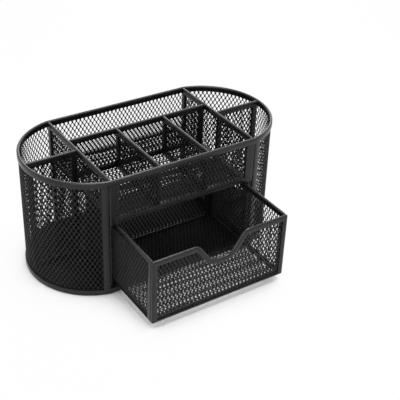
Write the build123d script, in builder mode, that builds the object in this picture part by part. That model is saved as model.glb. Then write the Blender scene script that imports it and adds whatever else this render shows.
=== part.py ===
from build123d import *
from math import asin, cos, sin, sqrt
import os

# ------------------------------------------------------------------ overall
length = 220.0            # tip to tip over the two curved ends
width = 109.0             # front wall to rear wall
height = 104.0            # table to the top of the rim
corner_reach = 66.0       # middle to the corners where the walls turn into the ends

# ------------------------------------------------------- sheet and strip
sheet = 0.8               # expanded steel sheet, and the plain sheet of the base
strip = 0.8               # one leaf of a folded steel strip
rim_height = 5.0          # strips along the top and the bottom of the wall
divider_band = 5.0        # strip round each divider and shelf
post_width = 6.0          # strip on the front edge of each curved end
jamb_width = 8.0          # strip on each side edge of the upper front sheet
lintel_height = 5.0       # strip along the top of the drawer opening
weld_gap = 0.05           # end of a straight strip to the curved rim it is welded to

# --------------------------------------------- diamond openings in the sheet
cell_across = 19.0        # one diamond and its strand, side to side
cell_tall = 32.0          # one diamond and its strand, top to bottom
strand = 4.5              # metal left between two diamonds
least_share = 0.4         # a diamond that an edge cuts to less than this is left out

# --------------------------------------------------------------- dividers
long_divider_y = 16.6     # the long divider, behind the middle
short_divider_x = 22.0    # middle to each of the two short dividers

# ----------------------------------------------------------------- drawer
drawer_height = 57.4
drawer_out = 54.0         # how far the drawer stands open as modelled
drawer_side_gap = 2.0     # drawer to the dividers on each side of it
drawer_lift = 0.3         # running gap under the drawer
drawer_head_gap = 1.2     # drawer to the shelf over it
drawer_rear_gap = 3.0     # drawer to the rear wall when it is shut
drawer_band = 4.5         # strip round the drawer's sheets
drawer_base_band = 2.0    # strip along the lower edge of the drawer's walls
drawer_floor_band = 2.0   # strip round the drawer's floor
notch_top = 42.0          # finger notch, across at the top edge
notch_bottom = 16.0       # finger notch, across at its lowest line
notch_depth = 18.0
notch_lip_radius = 5.0    # notch to top edge
notch_foot_radius = 6.0   # the notch's lower corners

# --------------------------------------------------- worked out from these
folded = sheet + 2 * strip
half_width = width / 2
end_run = length / 2 - corner_reach
end_radius = (end_run**2 + half_width**2) / (2 * end_run)
end_centre = length / 2 - end_radius
end_edge = corner_reach + strip


def corner_at(inset):
    """How far the corner between a wall and an end lies from the middle, at an inset."""
    return end_centre + sqrt((end_radius - inset) ** 2 - (half_width - inset) ** 2)


inner_corner = corner_at(folded)
base_top = rim_height + sheet
inner_width = width - 2 * folded
bay_half = inner_corner - folded
drawer_width = 2 * (bay_half - drawer_side_gap)
drawer_depth = width - strip - sheet - drawer_rear_gap
drawer_base = base_top + drawer_lift
drawer_front = -half_width - drawer_out
shelf_underside = drawer_base + drawer_height + drawer_head_gap
shelf_top = shelf_underside + folded

os.makedirs("parts", exist_ok=True)


def finish(piece, name):
    """Labels a finished sub-part and writes it."""
    piece.part.label = name
    export_step(piece.part, f"parts/{name}.step")


# ------------------------------------------------------------ plan outlines
def oval(inset):
    """The stand's plan, inset from its outer face: two straight walls, two arcs."""
    side = half_width - inset
    corner = corner_at(inset)
    tip = length / 2 - inset
    with BuildLine() as plan:
        Line((-corner, -side), (corner, -side))
        ThreePointArc((corner, -side), (tip, 0), (corner, side))
        Line((corner, side), (-corner, side))
        ThreePointArc((-corner, side), (-tip, 0), (-corner, -side))
    return plan.edges()


def wall_ring(outer, inner):
    """Draws the band between two insets of the plan in the open sketch."""
    make_face(oval(outer))
    make_face(oval(inner), mode=Mode.SUBTRACT)


# --------------------------------------------------------- diamond openings
def rhomb(pitch_x, pitch_y):
    """The corners of one diamond opening, with half a strand left all round it."""
    share = 1 - strand * sqrt(1 / pitch_x**2 + 1 / pitch_y**2)
    reach_x = share * pitch_x / 2
    reach_y = share * pitch_y / 2
    return (reach_x, 0), (0, reach_y), (-reach_x, 0), (0, -reach_y)


def diamonds(across, tall, rise=0, within=None):
    """Staggered diamonds that fill a window, whose middle lies off the origin by rise.

    They are cut short along the window's edge and any outline they are to lie within.
    """
    columns = max(1, round(across / cell_across))
    rows = max(1, round(tall / cell_tall))
    pitch_x = across / columns
    pitch_y = tall / rows
    corners = rhomb(pitch_x, pitch_y)
    whole = 2 * corners[0][0] * corners[1][1]
    with BuildSketch() as holes:
        with Locations((0, rise)):
            with GridLocations(pitch_x, pitch_y, columns, rows):
                Polygon(*corners)
            with GridLocations(pitch_x, pitch_y, columns + 1, rows + 1):
                Polygon(*corners)
            Rectangle(across, tall, mode=Mode.INTERSECT)
        if within is not None:
            make_face(within, mode=Mode.INTERSECT)
    return [hole for hole in holes.faces() if hole.area > least_share * whole]


# --------------------------------------------------- flat sheets in a binding
def window(across, tall, side_band, foot_band, top_band):
    """The clear field of a bound sheet: its size and how far it lies off the middle."""
    return across - 2 * side_band, tall - foot_band - top_band, (foot_band - top_band) / 2


def bound_sheet(plane, across, tall, side_band, foot_band, top_band):
    """Expanded sheet for a bound panel. It reaches the fold of the strip all round."""
    clear_across, clear_tall, rise = window(across, tall, side_band, foot_band, top_band)
    with BuildPart() as panel:
        with BuildSketch(plane.offset(-sheet / 2)):
            Rectangle(across - 2 * strip, tall - 2 * strip)
            add(diamonds(clear_across, clear_tall, rise), mode=Mode.SUBTRACT)
        extrude(amount=sheet)
    return panel


def binding(plane, across, tall, side_band, foot_band, top_band):
    """Folded strip round a bound panel, with a slot that holds the sheet's edge."""
    clear_across, clear_tall, rise = window(across, tall, side_band, foot_band, top_band)
    with BuildPart() as channel:
        with BuildSketch(plane.offset(-folded / 2)):
            Rectangle(across, tall)
            with Locations((0, rise)):
                Rectangle(clear_across, clear_tall, mode=Mode.SUBTRACT)
        extrude(amount=folded)
        with BuildSketch(plane.offset(-sheet / 2)):
            Rectangle(across - 2 * strip, tall - 2 * strip)
        extrude(amount=sheet, mode=Mode.SUBTRACT)
    return channel


def bound_panel(name, plane, across, tall, side_band, foot_band, top_band):
    """Makes and writes the sheet and the binding of one flat panel."""
    bands = (side_band, foot_band, top_band)
    finish(bound_sheet(plane, across, tall, *bands), f"{name}_mesh")
    finish(binding(plane, across, tall, *bands), f"{name}_binding")


# -------------------------------------------------------------------- rims
# The top rim is a strip folded over the wall's upper edge.
with BuildPart() as top_rim:
    with BuildSketch(Plane.XY.offset(height - rim_height)):
        wall_ring(0, folded)
    extrude(amount=rim_height)
    with BuildSketch(Plane.XY.offset(height - rim_height)):
        wall_ring(strip, strip + sheet)
    extrude(amount=rim_height - strip, mode=Mode.SUBTRACT)
finish(top_rim, "top_rim")

# The bottom rim holds the walls' lower edge. Under the drawer its fold is shut.
with BuildPart() as bottom_rim:
    with BuildSketch():
        wall_ring(0, folded)
    extrude(amount=rim_height)
    with BuildSketch(Plane.XY.offset(strip)):
        wall_ring(strip, strip + sheet)
        with Locations((0, -half_width)):
            Rectangle(2 * corner_reach, 2 * folded, mode=Mode.SUBTRACT)
    extrude(amount=rim_height - strip, mode=Mode.SUBTRACT)
finish(bottom_rim, "bottom_rim")

# ------------------------------------------------------------------- walls
wall_height = height - 2 * strip
field_height = height - 2 * rim_height
field_middle = height / 2

# The rear wall is flat, from corner to corner.
with BuildPart() as rear_wall_mesh:
    with BuildSketch(Plane.XY.offset(strip)):
        wall_ring(strip, strip + sheet)
        with Locations((0, half_width)):
            Rectangle(2 * end_edge, 2 * folded, mode=Mode.INTERSECT)
    extrude(amount=wall_height)
    with BuildSketch(Plane.XZ.offset(-half_width)):
        add(diamonds(2 * corner_reach, field_height, field_middle))
    extrude(amount=2 * folded, mode=Mode.SUBTRACT)
finish(rear_wall_mesh, "rear_wall_mesh")

# A curved end is the same sheet rolled to the end's radius. Its diamonds are cut
# column by column round the arc, square to the wall.
end_half_angle = asin(half_width / end_radius)
end_arc = 2 * end_half_angle * end_radius
end_columns = max(2, round(end_arc / cell_across))
end_rows = max(1, round(field_height / cell_tall))
end_step = 2 * end_half_angle / end_columns
end_pitch = end_arc / end_columns
row_pitch = field_height / end_rows

end_cuts = []
for half_step in range(1, 2 * end_columns):
    turn = half_step * end_step / 2 - end_half_angle
    outward = Vector(cos(turn), sin(turn), 0)
    column = Plane(
        origin=Vector(end_centre, 0, field_middle) + outward * end_radius,
        x_dir=(-sin(turn), cos(turn), 0),
        z_dir=outward,
    )
    with BuildSketch(column) as column_holes:
        with GridLocations(end_pitch, row_pitch, 1, end_rows + (half_step + 1) % 2):
            Polygon(*rhomb(end_pitch, row_pitch))
        Rectangle(end_pitch, field_height, mode=Mode.INTERSECT)
    end_cuts += extrude(column_holes.sketch, amount=-2 * folded, mode=Mode.PRIVATE).solids()

with BuildPart() as right_end_mesh:
    with BuildSketch(Plane.XY.offset(strip)):
        wall_ring(strip, strip + sheet)
        with Locations((end_edge, 0)):
            Rectangle(length, 2 * width, align=(Align.MIN, Align.CENTER), mode=Mode.INTERSECT)
    extrude(amount=wall_height)
    add(end_cuts, mode=Mode.SUBTRACT)
finish(right_end_mesh, "right_end_mesh")

with BuildPart() as left_end_mesh:
    add(mirror(right_end_mesh.part, about=Plane.YZ))
finish(left_end_mesh, "left_end_mesh")

# The base is a plain sheet that lies on the bottom rim, inside the walls.
with BuildPart() as base_plate:
    with BuildSketch(Plane.XY.offset(rim_height)):
        make_face(oval(strip + sheet))
    extrude(amount=sheet)
finish(base_plate, "base_plate")

# ------------------------------------------------------------------- front
# A post is folded over the front edge of each curved end, from rim to rim.
# Its inner leaf stands on the base and its outer leaf on the rim.
with BuildPart() as right_post:
    with BuildSketch(Plane.XY.offset(rim_height)):
        wall_ring(0, folded)
        with Locations((corner_reach, -half_width)):
            Rectangle(post_width, width, align=(Align.MIN, Align.CENTER), mode=Mode.INTERSECT)
    extrude(amount=field_height)
    with BuildSketch(Plane.XY.offset(rim_height)):
        wall_ring(strip, strip + sheet)
        with Locations((end_edge, -half_width)):
            Rectangle(width, width, align=(Align.MIN, Align.CENTER), mode=Mode.INTERSECT)
    extrude(amount=field_height, mode=Mode.SUBTRACT)
    with BuildSketch(Plane.XY.offset(rim_height)):
        make_face(oval(strip + sheet))
    extrude(amount=sheet, mode=Mode.SUBTRACT)
finish(right_post, "right_post")

with BuildPart() as left_post:
    add(mirror(right_post.part, about=Plane.YZ))
finish(left_post, "left_post")

# The upper front sheet hangs from the top rim between the posts. A jamb is folded
# over each side edge of it and the lintel over its lower edge.
front_plane = Plane.XZ.offset(half_width - folded / 2)
front_foot = shelf_underside + strip
front_head = height - strip
front_across = 2 * (corner_reach - strip)
jamb_height = height - rim_height - shelf_underside
clear_half = corner_reach - jamb_width
lintel_top = shelf_underside + lintel_height
upper_field = height - rim_height - lintel_top

with BuildPart() as front_mesh:
    with BuildSketch(front_plane.offset(-sheet / 2)):
        with Locations((0, front_foot)):
            Rectangle(front_across, front_head - front_foot, align=(Align.CENTER, Align.MIN))
        add(diamonds(2 * clear_half, upper_field, lintel_top + upper_field / 2), mode=Mode.SUBTRACT)
    extrude(amount=sheet)
finish(front_mesh, "front_mesh")

with BuildPart() as right_jamb:
    with BuildSketch(front_plane.offset(-folded / 2)):
        with Locations((clear_half, shelf_underside)):
            Rectangle(jamb_width, jamb_height, align=(Align.MIN, Align.MIN))
    extrude(amount=folded)
    with BuildSketch(front_plane.offset(-sheet / 2)):
        with Locations((0, front_foot)):
            Rectangle(front_across, height, align=(Align.CENTER, Align.MIN))
    extrude(amount=sheet, mode=Mode.SUBTRACT)
finish(right_jamb, "right_jamb")

with BuildPart() as left_jamb:
    add(mirror(right_jamb.part, about=Plane.YZ))
finish(left_jamb, "left_jamb")

with BuildPart() as lintel:
    with BuildSketch(front_plane.offset(-folded / 2)):
        with Locations((0, shelf_underside)):
            Rectangle(2 * clear_half, lintel_height, align=(Align.CENTER, Align.MIN))
    extrude(amount=folded)
    with BuildSketch(front_plane.offset(-sheet / 2)):
        with Locations((0, front_foot)):
            Rectangle(front_across, height, align=(Align.CENTER, Align.MIN))
    extrude(amount=sheet, mode=Mode.SUBTRACT)
finish(lintel, "lintel")

# ---------------------------------------------------------------- dividers
divider_bands = (divider_band, divider_band, divider_band)


def upright(x, y, foot, top, x_dir):
    """A vertical plane whose origin is the middle of a panel from foot to top."""
    across = Vector(x_dir)
    return Plane(origin=(x, y, (foot + top) / 2), x_dir=across, z_dir=across.cross(Vector(0, 0, 1)))


# Two cross dividers stand on the base, just inside the corners, and reach the top.
cross_x = inner_corner - folded / 2
cross_height = height - base_top
for side, name in ((-1, "left_cross_divider"), (1, "right_cross_divider")):
    plane = upright(side * cross_x, 0, base_top, height, (0, 1, 0))
    bound_panel(name, plane, inner_width, cross_height, *divider_bands)

# The shelf over the drawer runs from the front to the rear wall.
shelf_front = folded - half_width
shelf_rear = half_width - strip - sheet
shelf_middle = (shelf_front + shelf_rear) / 2
shelf_plane = Plane(origin=(0, shelf_middle, shelf_underside + folded / 2))
bound_panel("shelf", shelf_plane, 2 * bay_half, shelf_rear - shelf_front, *divider_bands)

# The long divider stands on the shelf, between the cross dividers.
pen_height = height - shelf_top
plane = upright(0, long_divider_y, shelf_top, height, (1, 0, 0))
bound_panel("long_divider", plane, 2 * bay_half, pen_height, *divider_bands)

# Two short dividers part the front of the shelf in three.
short_rear = long_divider_y - folded / 2
short_across = short_rear - shelf_front
short_y = (short_rear + shelf_front) / 2
for side, name in ((-1, "left_short_divider"), (1, "right_short_divider")):
    plane = upright(side * short_divider_x, short_y, shelf_top, height, (0, 1, 0))
    bound_panel(name, plane, short_across, pen_height, *divider_bands)

# An end divider parts each curved end in two, from the cross divider to the tip.
tip_inside = length / 2 - folded - weld_gap
tip_across = tip_inside - inner_corner
tip_x = (tip_inside + inner_corner) / 2
for side, name in ((-1, "left_end_divider"), (1, "right_end_divider")):
    plane = upright(side * tip_x, 0, base_top, height, (1, 0, 0))
    bound_panel(name, plane, tip_across, cross_height, *divider_bands)

# ------------------------------------------------------------------ drawer
# The front is one sheet with a finger notch in its top edge.
lean = (notch_top - notch_bottom) / 2 / notch_depth
notch_spread = sqrt(1 + lean**2) - lean
drawer_face = Plane(
    origin=(0, drawer_front + folded / 2, drawer_base + drawer_height / 2),
    x_dir=(1, 0, 0),
    z_dir=(0, -1, 0),
)


def notched_outline(inset, foot_inset):
    """The drawer front's outline, inset by one width along the foot and another elsewhere."""
    side = drawer_width / 2 - inset
    foot = foot_inset - drawer_height / 2
    top = drawer_height / 2 - inset
    lip = notch_top / 2 + inset * notch_spread
    low = notch_bottom / 2 + inset * notch_spread
    lip_radius = max(notch_lip_radius - inset, 0.3)
    foot_radius = notch_foot_radius + inset
    with BuildLine() as outline:
        FilletPolyline(
            (-side, top),
            (-lip, top),
            (-low, top - notch_depth),
            (low, top - notch_depth),
            (lip, top),
            (side, top),
            radius=[lip_radius, foot_radius, foot_radius, lip_radius],
        )
        Polyline((side, top), (side, foot), (-side, foot), (-side, top))
    return outline.edges()


drawer_field = window(drawer_width, drawer_height, drawer_band, drawer_base_band, drawer_band)
notched_field = notched_outline(drawer_band, drawer_base_band)

with BuildPart() as drawer_front_mesh:
    with BuildSketch(drawer_face.offset(-sheet / 2)):
        make_face(notched_outline(strip, strip))
        add(diamonds(*drawer_field, within=notched_field), mode=Mode.SUBTRACT)
    extrude(amount=sheet)
finish(drawer_front_mesh, "drawer_front_mesh")

with BuildPart() as drawer_front_binding:
    with BuildSketch(drawer_face.offset(-folded / 2)):
        make_face(notched_outline(0, 0))
        make_face(notched_field, mode=Mode.SUBTRACT)
    extrude(amount=folded)
    with BuildSketch(drawer_face.offset(-sheet / 2)):
        make_face(notched_outline(strip, strip))
    extrude(amount=sheet, mode=Mode.SUBTRACT)
finish(drawer_front_binding, "drawer_front_binding")

# Two sides run back from the front, with the back sheet and the floor between them.
drawer_bands = (drawer_band, drawer_base_band, drawer_band)
drawer_top = drawer_base + drawer_height
drawer_rear = drawer_front + drawer_depth
side_across = drawer_depth - folded
side_x = (drawer_width - folded) / 2
side_y = drawer_rear - side_across / 2
for side, name in ((-1, "drawer_left_side"), (1, "drawer_right_side")):
    plane = upright(side * side_x, side_y, drawer_base, drawer_top, (0, 1, 0))
    bound_panel(name, plane, side_across, drawer_height, *drawer_bands)

back_across = drawer_width - 2 * folded
plane = upright(0, drawer_rear - folded / 2, drawer_base, drawer_top, (1, 0, 0))
bound_panel("drawer_back", plane, back_across, drawer_height, *drawer_bands)

floor_tall = drawer_depth - 2 * folded
floor_plane = Plane(origin=(0, drawer_front + drawer_depth / 2, drawer_base + folded / 2))
bound_panel("drawer_floor", floor_plane, back_across, floor_tall, *[drawer_floor_band] * 3)
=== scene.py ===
import bmesh
import bpy
from math import asin, cos, pi, radians, sin, sqrt, tau
from mathutils import Matrix, Vector


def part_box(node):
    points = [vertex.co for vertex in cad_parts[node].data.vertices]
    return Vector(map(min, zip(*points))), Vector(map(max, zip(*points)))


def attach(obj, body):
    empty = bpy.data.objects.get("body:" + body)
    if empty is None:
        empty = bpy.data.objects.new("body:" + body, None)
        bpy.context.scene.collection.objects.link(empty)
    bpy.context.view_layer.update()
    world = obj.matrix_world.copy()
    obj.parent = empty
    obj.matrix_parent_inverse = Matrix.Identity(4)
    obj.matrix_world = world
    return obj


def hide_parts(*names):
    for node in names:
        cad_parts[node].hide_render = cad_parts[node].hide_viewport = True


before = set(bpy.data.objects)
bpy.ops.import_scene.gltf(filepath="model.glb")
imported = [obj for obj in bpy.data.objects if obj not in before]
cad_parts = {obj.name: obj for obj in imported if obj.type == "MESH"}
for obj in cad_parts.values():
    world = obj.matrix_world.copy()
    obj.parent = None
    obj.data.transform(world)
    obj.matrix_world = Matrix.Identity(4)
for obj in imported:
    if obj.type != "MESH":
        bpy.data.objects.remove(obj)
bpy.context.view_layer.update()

# ============================================================ bottom rim
# A strip of thin steel folded in half over the lower edge of the mesh wall.
# It runs round the whole oval, is spot-welded through the mesh, and its ends
# butt together in a fine joint. The stand rests on its fold.

rim_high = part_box("bottom_rim")[1]
half_length = rim_high.x
half_width = rim_high.y
corner_reach = 0.066
end_run = half_length - corner_reach
end_radius = (end_run**2 + half_width**2) / (2 * end_run)
end_centre = half_length - end_radius
fold_thickness = 0.0024
leaf = 0.0008
fold_bend = 0.00115
worn_and_highlit_depth = 0.0011
slot_half = 0.00043
seam_gap = 0.00012


def plan_ring(inset, height, seam=None):
    """The oval of the wall, inset from its outer face. It starts and ends at the seam's angle."""
    steps = 34
    near_seam = 0.01
    radius = end_radius - inset
    sweep = asin((half_width - inset) / radius)
    right = [sweep * (2 * i / steps - 1) for i in range(steps + 1)]
    left = list(right)
    if seam is not None:
        gap = seam_gap / 2 / radius
        left = [seam + gap] + [a for a in right if a > seam + near_seam]
        last = [a for a in right if a < seam - near_seam] + [seam - gap]
    ring = [(-end_centre - radius * cos(a), -radius * sin(a), height) for a in left]
    ring += [(end_centre + radius * cos(a), radius * sin(a), height) for a in right]
    if seam is not None:
        ring += [(-end_centre - radius * cos(a), -radius * sin(a), height) for a in last]
    return ring


def folded_profile(band):
    """A folded strip cut across: (depth from the fold, height off the sheet's middle)."""
    half = fold_thickness / 2
    bend = fold_bend
    arc = [(bend * (1 - sin(i * pi / 8)), half - bend + bend * cos(i * pi / 8)) for i in range(5)]
    lip = [(band - 0.0003, half), (band - 0.00008, half - 0.00008), (band, half - 0.0003)]
    slot = [(band, slot_half), (band - 0.0009, slot_half - 0.00003)]
    upper = slot[::-1] + lip[::-1] + arc
    lower = [(depth, -rise) for depth, rise in upper[::-1]]
    return upper + lower


def worn_and_highlit_folds(band):
    """How much each point of a folded strip's profile is rubbed and takes a painted highlight: most on the
    fold, less on the lips.
    """
    wear_and_highlight = []
    for depth, rise in folded_profile(band):
        on_lip = band - depth < 0.0004 and abs(rise) > 2 * slot_half
        wear_and_highlight.append(max(1.0 - depth / worn_and_highlit_depth, 0.45 if on_lip else 0.0))
    return wear_and_highlight


def skin(rings, closed=True):
    """Closes rings of points into one shell, the last ring to the first. An open run gets caps."""
    count = len(rings[0])
    points = [p for ring in rings for p in ring]
    faces = []
    for i in range(len(rings)):
        a = i * count
        b = (i + 1) % len(rings) * count
        for j in range(count if closed else count - 1):
            k = (j + 1) % count
            faces.append((a + j, a + k, b + k, b + j))
    if not closed:
        faces.append([i * count for i in range(len(rings))])
        faces.append([i * count + count - 1 for i in range(len(rings))][::-1])
    return points, faces


def shell(name, points, faces, material, rubbed_and_highlit=()):
    """One object from points in metres, closed, with its faces outwards and its bends smooth.
    The last argument says of each ring how much hands have worn its coat and how much painted highlight its
    fold takes, from 0 to 1."""
    crease = radians(32)
    mesh = bpy.data.meshes.new(name)
    mesh.from_pydata([tuple(p) for p in points], [], faces)
    if rubbed_and_highlit:
        each = len(points) // len(rubbed_and_highlit)
        wear_and_highlight = mesh.attributes.new("rubbed_and_highlit", "FLOAT", "POINT")
        wear_and_highlight.data.foreach_set("value", [amount for amount in rubbed_and_highlit for _ in range(each)])
    work = bmesh.new()
    work.from_mesh(mesh)
    bmesh.ops.remove_doubles(work, verts=work.verts, dist=1e-6)
    bmesh.ops.dissolve_degenerate(work, edges=work.edges, dist=1e-6)
    bmesh.ops.recalc_face_normals(work, faces=work.faces)
    work.to_mesh(mesh)
    work.free()
    mesh.polygons.foreach_set("use_smooth", [True] * len(mesh.polygons))
    mesh.set_sharp_from_angle(angle=crease)
    mesh.materials.append(material)
    piece = bpy.data.objects.new(name, mesh)
    bpy.context.collection.objects.link(piece)
    return piece


def fasten(piece, body, finish, *nodes):
    """The piece moves with its body and stands for its CAD nodes, which it hides. The finish is not used.
    """
    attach(piece, body)
    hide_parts(*nodes)


def group_socket(group, name, kind, value=None, way="INPUT"):
    """Adds one named input or output to a node group."""
    made = group.interface.new_socket(name=name, in_out=way, socket_type=kind)
    if value is not None:
        made.default_value = value
    return made


def put(tree, kind, feeds=(), **settings):
    """Adds a node. Feeds go to its inputs by name or place, as values or as outputs to link."""
    made = tree.nodes.new(kind)
    for key, value in settings.items():
        setattr(made, key, value)
    for key, value in dict(feeds).items():
        if isinstance(value, bpy.types.NodeSocket):
            tree.links.new(value, made.inputs[key])
        else:
            made.inputs[key].default_value = value
    return made


def calc(tree, operation, *terms):
    """One sum, product or other simple calculation in a tree."""
    return put(tree, "ShaderNodeMath", enumerate(terms), operation=operation).outputs[0]


# The powder coat: baked polyester powder that has flowed into a fine orange peel.
# It is a touch paler and smoother on the folds, partly from rubbed wear and partly as a painted highlight
# line, and holds a trace of dust.
powder = bpy.data.node_groups.new("powder coat", "ShaderNodeTree")
group_socket(powder, "Colour", "NodeSocketColor", (0.02, 0.02, 0.021, 1))
group_socket(powder, "Dust", "NodeSocketFloat", 0.12)
group_socket(powder, "Gloss loss", "NodeSocketFloat", 0.42)
group_socket(powder, "Peel size", "NodeSocketFloat", 0.0009)
group_socket(powder, "Rubbed and highlit", "NodeSocketFloat", 0.0)
group_socket(powder, "Colour", "NodeSocketColor", way="OUTPUT")
group_socket(powder, "Roughness", "NodeSocketFloat", way="OUTPUT")
group_socket(powder, "Peel", "NodeSocketFloat", way="OUTPUT")
asked = powder.nodes.new("NodeGroupInput")
given = powder.nodes.new("NodeGroupOutput")
where = put(powder, "ShaderNodeTexCoord").outputs["Object"]
peel_scale = calc(powder, "DIVIDE", 1.0, asked.outputs["Peel size"])


def grain(scale, detail, roughness):
    """A fine pattern in the coat, fixed to the object."""
    feeds = {"Vector": where, "Scale": scale, "Detail": detail, "Roughness": roughness}
    return put(powder, "ShaderNodeTexNoise", feeds)


peel = grain(peel_scale, 2.0, 0.45)
drift = grain(38.0, 4.0, 0.6)
specks = grain(2600.0, 1.0, 0.5)
scuff_and_highlight_noise = grain(420.0, 3.0, 0.6)
speck_mask = put(powder, "ShaderNodeMapRange", {0: specks.outputs[0], 1: 0.60, 2: 0.74, 3: 0.0, 4: 1.0})
drift_mask = put(powder, "ShaderNodeMapRange", {0: drift.outputs[0], 1: 0.35, 2: 0.75, 3: 0.0, 4: 1.0})
dust = calc(powder, "MULTIPLY", asked.outputs["Dust"], drift_mask.outputs[0])
pale = calc(powder, "ADD", dust, calc(powder, "MULTIPLY", speck_mask.outputs[0], 0.06))
dust_colour = (0.20, 0.195, 0.19, 1)
coated = put(powder, "ShaderNodeMix", {
    0: pale, 6: asked.outputs["Colour"], 7: dust_colour}, data_type="RGBA")
scuff_and_highlight_mask = put(powder, "ShaderNodeMapRange", {0: scuff_and_highlight_noise.outputs[0], 1: 0.38, 2: 0.62, 3: 0.25, 4: 1.0})
rubbed_and_highlit = calc(powder, "POWER", asked.outputs["Rubbed and highlit"], 2.0)
rubbed_and_highlit = calc(powder, "MULTIPLY", rubbed_and_highlit, scuff_and_highlight_mask.outputs[0])
# Paler grey along the folds: partly rubbed wear, partly a painted highlight line on every fold.
rubbed_highlight_colour = (0.07, 0.07, 0.072, 1)
rubbed_highlight_share = calc(powder, "MULTIPLY", rubbed_and_highlit, 0.5)
bared_and_highlit = put(powder, "ShaderNodeMix", {
    0: rubbed_highlight_share, 6: coated.outputs[2], 7: rubbed_highlight_colour}, data_type="RGBA")
dulled = calc(powder, "MULTIPLY_ADD", dust, 0.9, asked.outputs["Gloss loss"])
dulled = calc(powder, "MULTIPLY_ADD", rubbed_and_highlit, -0.06, dulled)
powder.links.new(bared_and_highlit.outputs[2], given.inputs["Colour"])
powder.links.new(calc(powder, "MULTIPLY_ADD", peel.outputs[0], 0.08, dulled), given.inputs["Roughness"])
powder.links.new(peel.outputs[0], given.inputs["Peel"])


def coated_steel(name, colour, dust, gloss_loss, peel_depth, specular):
    """Powder-coated steel with its own shade, dust and gloss."""
    made = bpy.data.materials.new(name)
    made.use_nodes = True
    tree = made.node_tree
    surface = tree.nodes["Principled BSDF"]
    coat = put(tree, "ShaderNodeGroup", node_tree=powder)
    coat.inputs["Colour"].default_value = (*colour, 1)
    coat.inputs["Dust"].default_value = dust
    coat.inputs["Gloss loss"].default_value = gloss_loss
    # The attribute marks the folds for rubbed wear and for a painted highlight line.
    wear_and_highlight = put(tree, "ShaderNodeAttribute", attribute_name="rubbed_and_highlit")
    tree.links.new(wear_and_highlight.outputs["Fac"], coat.inputs["Rubbed and highlit"])
    relief = {"Strength": 0.35, "Distance": peel_depth, "Height": coat.outputs["Peel"]}
    bump = put(tree, "ShaderNodeBump", relief)
    tree.links.new(coat.outputs["Colour"], surface.inputs["Base Color"])
    tree.links.new(coat.outputs["Roughness"], surface.inputs["Roughness"])
    tree.links.new(bump.outputs[0], surface.inputs["Normal"])
    surface.inputs["Specular IOR Level"].default_value = specular
    return made


strip_coat = coated_steel(
    "black powder coat on strip", (0.007, 0.007, 0.0073),
    dust=0.04, gloss_loss=0.22, peel_depth=0.00008, specular=0.33)

rim_band = 0.005
rim_seam = radians(40)


def rim_strip(name, edge, inward):
    """A strip folded over the wall's edge at a height, with its leaves going up or down."""
    rings = []
    for depth, rise in folded_profile(rim_band):
        rings.append(plan_ring(fold_thickness / 2 - rise, edge + inward * depth, rim_seam))
    return shell(name, *skin(rings, closed=False), strip_coat, worn_and_highlit_folds(rim_band))


bottom_rim = rim_strip("bottom_rim_strip", edge=0.0, inward=1)
fasten(bottom_rim, "stand", "stand_strip", "bottom_rim")

# ============================================================ top rim
# The same folded strip over the wall's upper edge, where hands and pens touch it.
# Its seam lies on the left end, above the bottom rim's.

stand_height = 0.104
top_rim = rim_strip("top_rim_strip", edge=stand_height, inward=-1)
fasten(top_rim, "stand", "stand_strip", "top_rim")

# ============================================================ walls
# Expanded steel: a sheet slit and stretched into a net of long rounded diamonds,
# coated, then bent round the stand. The rear is flat and the two ends are rolled.
# Its edges are held inside the folded rims.


def against_outline(tree, place, outline, reach):
    """How a place lies to the outline: whether it is off it, its nearest edge, whether that is far."""
    above = put(tree, "ShaderNodeVectorMath", {0: place, 1: (0, 0, 0.01)}, operation="ADD").outputs[0]
    ray = put(tree, "GeometryNodeRaycast", {"Target Geometry": outline, "Source Position": above,
                                            "Ray Direction": (0, 0, -1), "Ray Length": 0.1})
    near = put(tree, "GeometryNodeProximity", target_element="EDGES")
    tree.links.new(outline, near.inputs[0])
    tree.links.new(place, near.inputs["Sample Position"])
    off = put(tree, "FunctionNodeBooleanMath", {0: ray.outputs["Is Hit"]}, operation="NOT")
    far = put(tree, "FunctionNodeCompare", {0: near.outputs["Distance"], 1: reach},
              operation="GREATER_THAN")
    return off.outputs[0], near, far.outputs[0]


net = bpy.data.node_groups.new("expanded steel sheet", "GeometryNodeTree")
net.is_modifier = True
group_socket(net, "Outline", "NodeSocketGeometry")
net_inputs = {}
for label, kind, value in (
    ("Columns", "NodeSocketInt", 20), ("Rows", "NodeSocketInt", 10),
    ("Pitch across", "NodeSocketFloat", 0.0035), ("Pitch tall", "NodeSocketFloat", 0.006),
    ("Strand", "NodeSocketFloat", 0.00115), ("Roundness", "NodeSocketFloat", 1.35),
    ("Thickness", "NodeSocketFloat", 0.0008), ("Bend radius", "NodeSocketFloat", 0.0),
    ("Coat", "NodeSocketMaterial", None),
):
    net_inputs[label] = group_socket(net, label, kind, value).identifier
group_socket(net, "Sheet", "NodeSocketGeometry", way="OUTPUT")
asked = net.nodes.new("NodeGroupInput").outputs
wide = calc(net, "MULTIPLY", asked["Pitch across"], 0.5)
high = calc(net, "MULTIPLY", asked["Pitch tall"], 0.5)

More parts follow.
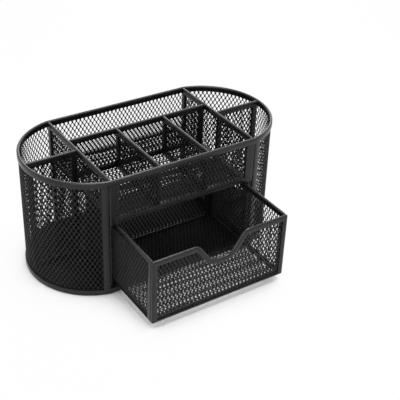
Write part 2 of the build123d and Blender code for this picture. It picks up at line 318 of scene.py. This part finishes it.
# One cell: a rounded opening in a diamond of metal, from its back, over the
# opening's edge, to its front. The strand is thickest along its middle.
flat = put(net, "GeometryNodeMeshGrid", {"Size X": 1.0, "Size Y": 1.0, "Vertices X": 13, "Vertices Y": 3})
spot = put(net, "ShaderNodeSeparateXYZ", {0: put(net, "GeometryNodeInputPosition").outputs[0]}).outputs
turn = calc(net, "MULTIPLY", calc(net, "ADD", spot[0], 0.5), tau)
side = calc(net, "MULTIPLY", calc(net, "ABSOLUTE", spot[1]), 2.0)
diagonal = calc(net, "SQRT", calc(net, "ADD", calc(net, "POWER", wide, 2.0), calc(net, "POWER", high, 2.0)))
lean = calc(net, "MULTIPLY", asked["Strand"], diagonal)
lean = calc(net, "DIVIDE", lean, calc(net, "MULTIPLY", wide, high))
share = calc(net, "SUBTRACT", 1.0, calc(net, "MULTIPLY", lean, 0.5))
share = calc(net, "MULTIPLY_ADD", side, calc(net, "SUBTRACT", 1.0, share), share)
bulge = calc(net, "MULTIPLY_ADD", side, calc(net, "SUBTRACT", 2.0, asked["Roundness"]), asked["Roundness"])
reach = []
for wave, half in (("COSINE", wide), ("SINE", high)):
    swing = calc(net, wave, turn)
    swell = calc(net, "POWER", calc(net, "ABSOLUTE", swing), bulge)
    signed = calc(net, "MULTIPLY", calc(net, "SIGN", calc(net, "SNAP", swing, 0.0001)), swell)
    reach.append(calc(net, "MULTIPLY", calc(net, "MULTIPLY", signed, half), share))
rise = calc(net, "MULTIPLY", spot[1], asked["Thickness"])
shape = put(net, "ShaderNodeCombineXYZ", {0: reach[0], 1: reach[1], 2: rise})
cell = put(net, "GeometryNodeSetPosition", {"Geometry": flat.outputs[0], "Position": shape.outputs[0]})

# Two staggered lattices of cells, over and a little past the outline.
joined = put(net, "GeometryNodeJoinGeometry")
for spare in (3, 2):
    lattice = put(net, "GeometryNodeMeshGrid")
    for axis, count, pitch in (("X", "Columns", "Pitch across"), ("Y", "Rows", "Pitch tall")):
        points = calc(net, "ADD", asked[count], float(spare))
        net.links.new(points, lattice.inputs["Vertices " + axis])
        size = calc(net, "MULTIPLY", calc(net, "SUBTRACT", points, 1.0), asked[pitch])
        net.links.new(size, lattice.inputs["Size " + axis])
    net.links.new(lattice.outputs[0], joined.inputs[0])
place = put(net, "GeometryNodeInputPosition").outputs[0]
off, near, far = against_outline(net, place, asked["Outline"], high)
unused = put(net, "FunctionNodeBooleanMath", {0: off, 1: far}, operation="AND").outputs[0]
seats = put(net, "GeometryNodeDeleteGeometry", {"Geometry": joined.outputs[0], "Selection": unused})
cells = put(net, "GeometryNodeInstanceOnPoints", {"Points": seats.outputs[0], "Instance": cell.outputs[0]})
cells = put(net, "GeometryNodeRealizeInstances", {"Geometry": cells.outputs[0]})

# Whatever passes the outline is drawn back to it, where the sheet was sheared.
place = put(net, "GeometryNodeInputPosition").outputs[0]
level_place = put(net, "ShaderNodeVectorMath", {0: place, 1: (1, 1, 0)}, operation="MULTIPLY").outputs[0]
off, near, far = against_outline(net, level_place, asked["Outline"], 0.00003)
within = put(net, "FunctionNodeBooleanMath", {0: far, 1: off}, operation="NIMPLY").outputs[0]
past = put(net, "FunctionNodeBooleanMath", {0: within}, operation="NOT").outputs[0]
trimmed = put(net, "GeometryNodeSetPosition", {
    "Geometry": cells.outputs[0], "Selection": past, "Position": near.outputs["Position"]})
merged = put(net, "GeometryNodeMergeByDistance", {"Geometry": trimmed.outputs[0], "Distance": 0.00001})

# A rolled sheet turns about an axis that runs up behind it.
spot = put(net, "ShaderNodeSeparateXYZ", {0: put(net, "GeometryNodeInputPosition").outputs[0]}).outputs
rolled = calc(net, "GREATER_THAN", asked["Bend radius"], 0.0001)
angle = calc(net, "DIVIDE", spot[0], calc(net, "MAXIMUM", asked["Bend radius"], 0.0001))
arm = calc(net, "ADD", asked["Bend radius"], spot[2])
bent = put(net, "ShaderNodeCombineXYZ", {
    0: calc(net, "MULTIPLY", arm, calc(net, "SINE", angle)), 1: spot[1],
    2: calc(net, "SUBTRACT", calc(net, "MULTIPLY", arm, calc(net, "COSINE", angle)), asked["Bend radius"])})
curved = put(net, "GeometryNodeSetPosition", {
    "Geometry": merged.outputs[0], "Selection": rolled, "Position": bent.outputs[0]})
whole = put(net, "GeometryNodeRealizeInstances", {"Geometry": curved.outputs[0]})
painted = put(net, "GeometryNodeSetMaterial", {"Geometry": whole.outputs[0], "Material": asked["Coat"]})
net.links.new(painted.outputs[0], net.nodes.new("NodeGroupOutput").inputs["Sheet"])

mesh_coat = coated_steel(
    "black powder coat on mesh", (0.020, 0.020, 0.0206),
    dust=0.06, gloss_loss=0.34, peel_depth=0.00006, specular=0.18)


def expanded_sheet(name, outline, place, pitch_across, pitch_tall, strand, coat=mesh_coat, bend_radius=0.0):
    """Fills a flat outline with cells, rolls it if asked, and sets it at its place."""
    mesh = bpy.data.meshes.new(name)
    mesh.from_pydata([(x, y, 0) for x, y in outline], [], [list(range(len(outline)))])
    piece = bpy.data.objects.new(name, mesh)
    bpy.context.collection.objects.link(piece)
    across = 2 * max(abs(x) for x, y in outline)
    tall = 2 * max(abs(y) for x, y in outline)
    columns = round(across / pitch_across)
    rows = round(tall / pitch_tall)
    fill = piece.modifiers.new("expanded steel", "NODES")
    fill.node_group = net
    for label, value in (
        ("Columns", columns), ("Rows", rows),
        ("Pitch across", across / columns), ("Pitch tall", tall / rows),
        ("Strand", strand), ("Bend radius", bend_radius), ("Coat", coat),
    ):
        fill[net_inputs[label]] = value
    bpy.context.view_layer.update()
    made = bpy.data.meshes.new_from_object(piece.evaluated_get(bpy.context.evaluated_depsgraph_get()))
    piece.modifiers.clear()
    piece.data = made
    made.name = name
    work = bmesh.new()
    work.from_mesh(made)
    bmesh.ops.dissolve_degenerate(work, edges=work.edges, dist=2e-6)
    bmesh.ops.recalc_face_normals(work, faces=work.faces)
    work.to_mesh(made)
    work.free()
    made.transform(place)
    made.polygons.foreach_set("use_smooth", [True] * len(made.polygons))
    return piece


def rectangle(across, tall):
    """The corners of a rectangle about the origin."""
    return [(x * across / 2, y * tall / 2) for x, y in ((-1, -1), (1, -1), (1, 1), (-1, 1))]


def standing(origin, across, normal):
    """The place of a sheet drawn flat: its width along one direction, its face towards another."""
    across = Vector(across)
    normal = Vector(normal)
    turned = Matrix((across, normal.cross(across), normal)).transposed().to_4x4()
    return Matrix.Translation(Vector(origin)) @ turned


wall_pitch = (0.00375, 0.0060)
wall_strand = 0.00115
edge_play = 0.0002
wall_low, wall_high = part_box("rear_wall_mesh")
wall_tall = wall_high.z - wall_low.z
wall_middle = (wall_high.z + wall_low.z) / 2
sheet_depth = fold_thickness / 2
rear_wall = expanded_sheet(
    "rear_wall_sheet", rectangle(2 * wall_high.x, wall_tall),
    standing((0, half_width - sheet_depth, wall_middle), (-1, 0, 0), (0, 1, 0)), *wall_pitch, wall_strand)
fasten(rear_wall, "stand", "stand_mesh", "rear_wall_mesh")

roll_radius = end_radius - sheet_depth
edge_angle = asin((half_width - sheet_depth) / roll_radius) - (leaf + edge_play) / roll_radius
for name, toward in (("left_end", -1), ("right_end", 1)):
    rolled_end = expanded_sheet(
        name + "_sheet", rectangle(2 * edge_angle * roll_radius, wall_tall),
        standing((toward * (half_length - sheet_depth), 0, wall_middle), (0, toward, 0), (toward, 0, 0)),
        *wall_pitch, wall_strand, bend_radius=roll_radius)
    fasten(rolled_end, "stand", "stand_mesh", name + "_mesh")

# ============================================================ base plate
# A plain steel sheet cut to the oval and laid on the bottom rim's inner leaf,
# where it is tacked all round. Its edge is eased.

plate_low, plate_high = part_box("base_plate")
ease = 0.00015
plate_inset = half_width - plate_high.y
rings = [
    plan_ring(plate_inset, plate_low.z + ease),
    plan_ring(plate_inset, plate_high.z - ease),
    plan_ring(plate_inset + ease, plate_high.z),
    plan_ring(plate_inset + ease, plate_low.z),
]
points, faces = skin(rings)
count = len(rings[0])
# The plate's two broad faces close the top and bottom rings, instead of a wall between them.
faces = [face for face in faces if min(face) < 2 * count]
faces += [[2 * count + i for i in range(count)], [3 * count + i for i in range(count)]]
# The plate's coat is a darker, duller copy of the same powder coat: painted shade for the floor inside the
# stand.
shaded_plate_coat = coated_steel(
    "black powder coat on plate painted for shade", (0.005, 0.005, 0.0052),
    dust=0.05, gloss_loss=0.45, peel_depth=0.00010, specular=0.05)
fasten(shell("base_plate_sheet", points, faces, shaded_plate_coat), "stand", "stand_plate", "base_plate")

# ============================================================ front posts
# A strip folded over the front edge of each rolled end, from rim to rim. It makes
# the upright on each side of the drawer's opening.

post_band = 0.006
for name, toward in (("left_post", -1), ("right_post", 1)):
    low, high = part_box(name)
    rings = []
    for depth, rise in folded_profile(post_band):
        across = corner_reach + depth
        radius = end_radius - sheet_depth + rise
        back = -sqrt(radius**2 - (across - end_centre) ** 2)
        levels = (low.z, high.z) if rise > 0 else (low.z + leaf, high.z)
        rings.append([(toward * across, back, level) for level in levels])
    strip = shell(name + "_strip", *skin(rings, closed=False), strip_coat, worn_and_highlit_folds(post_band))
    fasten(strip, "stand", "stand_strip", name)

# ============================================================ upper front
# Sheet between the posts over the drawer's opening. A jamb strip is folded over
# each side edge and a lintel strip over the lower edge, and they meet in butt joints.

front_low, front_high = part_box("front_mesh")
front_y = -half_width + sheet_depth
upper_front_pitch = (0.0032, 0.0060)
joint_gap = 0.00005
front = expanded_sheet(
    "upper_front_sheet", rectangle(2 * front_high.x, front_high.z - front_low.z),
    standing((0, front_y, (front_low.z + front_high.z) / 2), (1, 0, 0), (0, -1, 0)),
    *upper_front_pitch, wall_strand)
fasten(front, "stand", "stand_mesh", "front_mesh")

for name, toward in (("left_jamb", -1), ("right_jamb", 1)):
    low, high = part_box(name)
    rings = []
    for depth, rise in folded_profile(high.x - low.x):
        across = toward * (corner_reach - depth)
        rings.append([(across, front_y - rise, low.z + joint_gap), (across, front_y - rise, high.z)])
    strip = shell(name + "_strip", *skin(rings, closed=False), strip_coat, worn_and_highlit_folds(high.x - low.x))
    fasten(strip, "stand", "stand_strip", name)

low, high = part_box("lintel")
rings = []
for depth, rise in folded_profile(high.z - low.z):
    ends = (low.x + joint_gap, high.x - joint_gap)
    rings.append([(end, front_y - rise, low.z + depth) for end in ends])
lintel = shell("lintel_strip", *skin(rings, closed=False), strip_coat, worn_and_highlit_folds(high.z - low.z))
fasten(lintel, "stand", "stand_strip", "lintel")

# ============================================================ dividers and shelf
# Flat panels of sheet, each held in a folded strip that is bent round its four
# corners. Two cross the stand, one lies over the drawer, and the others stand on
# it or part the ends. Their strips are tacked to the rims and to each other.

inner_strand = 0.00125
corner_bend = 0.0012
least_bend = 0.00002
# A darker, duller copy of the mesh's powder coat for the panels inside: painted shade for the inside of the
# stand and the drawer.
shaded_inner_coat = coated_steel(
    "deep black powder coat painted for shade inside", (0.007, 0.007, 0.0073),
    dust=0.05, gloss_loss=0.45, peel_depth=0.00006, specular=0.08)


def rounded_outline(corners, radii, steps=3):
    """A closed outline with an arc of a few points at every corner."""
    outline = []
    for i, corner in enumerate(corners):
        here = Vector(corner)
        back = (Vector(corners[i - 1]) - here).normalized()
        ahead = (Vector(corners[(i + 1) % len(corners)]) - here).normalized()
        opening = back.angle(ahead)
        bisector = (back + ahead).normalized()
        middle = here + bisector * (radii[i] / sin(opening / 2))
        run = radii[i] * cos(opening / 2) / sin(opening / 2)
        first = here + back * run - middle
        last = here + ahead * run - middle
        for step in range(steps + 1):
            mixed = first.lerp(last, step / steps)
            outline.append(middle + mixed.normalized() * radii[i])
    return outline


def panel_place(node):
    """A flat panel's size and place from its CAD node: (across, tall, place)."""
    low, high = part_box(node)
    size = high - low
    middle = (low + high) / 2
    if size.z < min(size.x, size.y):
        return size.x, size.y, standing(middle, (1, 0, 0), (0, 0, 1))
    if size.x < size.y:
        return size.y, size.z, standing(middle, (0, 1, 0), (1, 0, 0))
    return size.x, size.z, standing(middle, (1, 0, 0), (0, -1, 0))


def bound_panel(node, body, finish, coat, pitch, band=0.005, foot_band=0.005):
    """Makes the sheet and the binding strip of one flat rectangular panel."""
    across, tall, place = panel_place(node + "_mesh")
    sheet = expanded_sheet(node + "_sheet", rectangle(across, tall), place, *pitch, inner_strand, coat)
    fasten(sheet, body, finish + "_mesh", node + "_mesh")
    across, tall, place = panel_place(node + "_binding")
    rings = []
    for (depth, rise), (foot, _) in zip(folded_profile(band), folded_profile(foot_band)):
        reach = across / 2 - depth
        bottom = foot - tall / 2
        top = tall / 2 - depth
        corners = [(-reach, bottom), (reach, bottom), (reach, top), (-reach, top)]
        radius = max(corner_bend - depth, least_bend)
        rings.append([place @ Vector((p.x, p.y, rise)) for p in rounded_outline(corners, [radius] * 4)])
    strip = shell(node + "_strip", *skin(rings), strip_coat, worn_and_highlit_folds(band))
    fasten(strip, body, finish + "_strip", node + "_binding")


divider_pitch = (0.0035, 0.0060)
for node in ("left_cross_divider", "right_cross_divider", "shelf", "long_divider", "left_short_divider",
             "right_short_divider", "left_end_divider", "right_end_divider"):
    bound_panel(node, "stand", "stand", shaded_inner_coat, divider_pitch)

# ============================================================ drawer box
# Two sides, a back and a floor of sheet, each in its own folded strip. The strip
# along the foot is narrower, because the drawer slides on it.

drawer_pitch = (0.0034, 0.0061)
drawer_band = 0.0045
drawer_foot = 0.0020
for node in ("drawer_left_side", "drawer_right_side"):
    bound_panel(node, "drawer", "drawer", mesh_coat, drawer_pitch, drawer_band, drawer_foot)
# The back and the floor take the darker inside coat, painted shade.
bound_panel("drawer_back", "drawer", "drawer", shaded_inner_coat, drawer_pitch, drawer_band, drawer_foot)
bound_panel("drawer_floor", "drawer", "drawer", shaded_inner_coat, divider_pitch, drawer_foot, drawer_foot)

# ============================================================ drawer front
# One sheet whose upper edge dips in a rounded finger notch. The folded strip
# follows the notch without a break, so that the bare wires are covered.

drawer_front_strand = 0.0014
notch_top = 0.042
notch_bottom = 0.016
notch_depth = 0.018
notch_lip_bend = 0.008
notch_foot_bend = 0.010
notch_slope = (notch_top - notch_bottom) / 2 / notch_depth
notch_spread = sqrt(1 + notch_slope**2) - notch_slope


def notched(across, tall, inset, foot_inset):
    """The drawer front's outline at an inset, with all its corners rounded."""
    reach = across / 2 - inset
    top = tall / 2 - inset
    foot = foot_inset - tall / 2
    lip = notch_top / 2 + inset * notch_spread
    low = notch_bottom / 2 + inset * notch_spread
    corners = [(-reach, foot), (reach, foot), (reach, top), (lip, top), (low, top - notch_depth),
               (-low, top - notch_depth), (-lip, top), (-reach, top)]
    edge = max(corner_bend - inset, least_bend)
    lips = notch_lip_bend - inset
    feet = notch_foot_bend + inset
    return rounded_outline(corners, [edge, edge, edge, lips, feet, feet, lips, edge], steps=7)


across, tall, place = panel_place("drawer_front_binding")
outline = [tuple(p) for p in notched(across, tall, leaf, leaf)]
sheet = expanded_sheet("drawer_front_sheet", outline, place, *drawer_pitch, drawer_front_strand)
fasten(sheet, "drawer", "drawer_mesh", "drawer_front_mesh")
rings = []
for (depth, rise), (foot, _) in zip(folded_profile(drawer_band), folded_profile(drawer_foot)):
    rings.append([place @ Vector((p.x, p.y, rise)) for p in notched(across, tall, depth, foot)])
strip = shell("drawer_front_strip", *skin(rings), strip_coat, worn_and_highlit_folds(drawer_band))
fasten(strip, "drawer", "drawer_strip", "drawer_front_binding")

# ============================================================ studio
# A white table top against white, lit by a lamp above, a soft one in front and a
# soft one behind, and seen from the front left and from above.


def plainly_seen(tree):
    """1 for rays from the camera and for those seen in a gloss or through glass, 0 for the rest."""
    path = put(tree, "ShaderNodeLightPath").outputs
    bounced = calc(tree, "MAXIMUM", path["Is Glossy Ray"], path["Is Transmission Ray"])
    return calc(tree, "MAXIMUM", path["Is Camera Ray"], bounced)


floor_coat = bpy.data.materials.new("white table top")
floor_coat.use_nodes = True
tree = floor_coat.node_tree
tree.nodes["Principled BSDF"].inputs["Base Color"].default_value = (0.8, 0.8, 0.8, 1)
tree.nodes["Principled BSDF"].inputs["Roughness"].default_value = 0.7
glow = put(tree, "ShaderNodeEmission", {"Color": (1, 1, 1, 1), "Strength": 1.0})
# The table glows white where it lies open; where ambient occlusion finds the object close, the glow fades
# to the lamp-lit table, so a soft shadow is painted under and round the object.
shade_reach = 0.06
cover = put(tree, "ShaderNodeAmbientOcclusion", {"Distance": shade_reach}, samples=8)
open_air = put(tree, "ShaderNodeMapRange", {0: cover.outputs["AO"], 1: 0.36, 2: 0.68, 3: 0.0, 4: 0.94})
glow_share = calc(tree, "MULTIPLY", plainly_seen(tree), open_air.outputs[0])
mixed = put(tree, "ShaderNodeMixShader", {0: glow_share})
tree.links.new(tree.nodes["Principled BSDF"].outputs[0], mixed.inputs[1])
tree.links.new(glow.outputs[0], mixed.inputs[2])
tree.links.new(mixed.outputs[0], tree.nodes["Material Output"].inputs["Surface"])
table_mesh = bpy.data.meshes.new("table_top")
table_mesh.from_pydata([(-3, -3, 0), (3, -3, 0), (3, 3, 0), (-3, 3, 0)], [], [(0, 1, 2, 3)])
table_mesh.materials.append(floor_coat)
table_top = bpy.data.objects.new("table_top", table_mesh)
bpy.context.collection.objects.link(table_top)

world = bpy.data.worlds.new("studio air")
bpy.context.scene.world = world
world.use_nodes = True
tree = world.node_tree
room = tree.nodes["Background"]
room.inputs["Color"].default_value = (1, 1, 1, 1)
room.inputs["Strength"].default_value = 0.08
white = put(tree, "ShaderNodeBackground", {"Color": (1, 1, 1, 1), "Strength": 1.0})
mixed = put(tree, "ShaderNodeMixShader", {0: plainly_seen(tree)})
tree.links.new(room.outputs[0], mixed.inputs[1])
tree.links.new(white.outputs[0], mixed.inputs[2])
tree.links.new(mixed.outputs[0], tree.nodes["World Output"].inputs["Surface"])

for name, spot, size, power in (
    ("lamp above", (0.12, -0.05, 1.05), 0.60, 12.0),
    ("soft front lamp", (-0.75, -0.95, 0.50), 0.80, 5.0),
    ("soft rear lamp", (0.70, 0.95, 0.60), 0.80, 5.0),
):
    lamp = bpy.data.lights.new(name, "AREA")
    lamp.size = size
    lamp.energy = power
    holder = bpy.data.objects.new(name, lamp)
    holder.location = spot
    holder.rotation_euler = (Vector(spot) - Vector((0, 0, 0.05))).to_track_quat("Z", "Y").to_euler()
    bpy.context.collection.objects.link(holder)

eye = Vector((-0.32276, -0.54409, 0.44740))
yaw, pitch, roll = 0.60332, 0.57482, 0.04290
ahead = Vector((sin(yaw) * cos(pitch), cos(yaw) * cos(pitch), -sin(pitch)))
level = Vector((cos(yaw), -sin(yaw), 0))
upward = level.cross(ahead)
right = level * cos(roll) + upward * sin(roll)
top = upward * cos(roll) - level * sin(roll)
lens = bpy.data.cameras.new("product camera")
lens.sensor_width = 36
lens.lens = 80.113
lens.clip_start = 0.01
camera = bpy.data.objects.new("product camera", lens)
camera.matrix_world = Matrix.Translation(eye) @ Matrix((right, top, -ahead)).transposed().to_4x4()
bpy.context.collection.objects.link(camera)
bpy.context.scene.camera = camera
bpy.context.scene.view_settings.view_transform = "Standard"
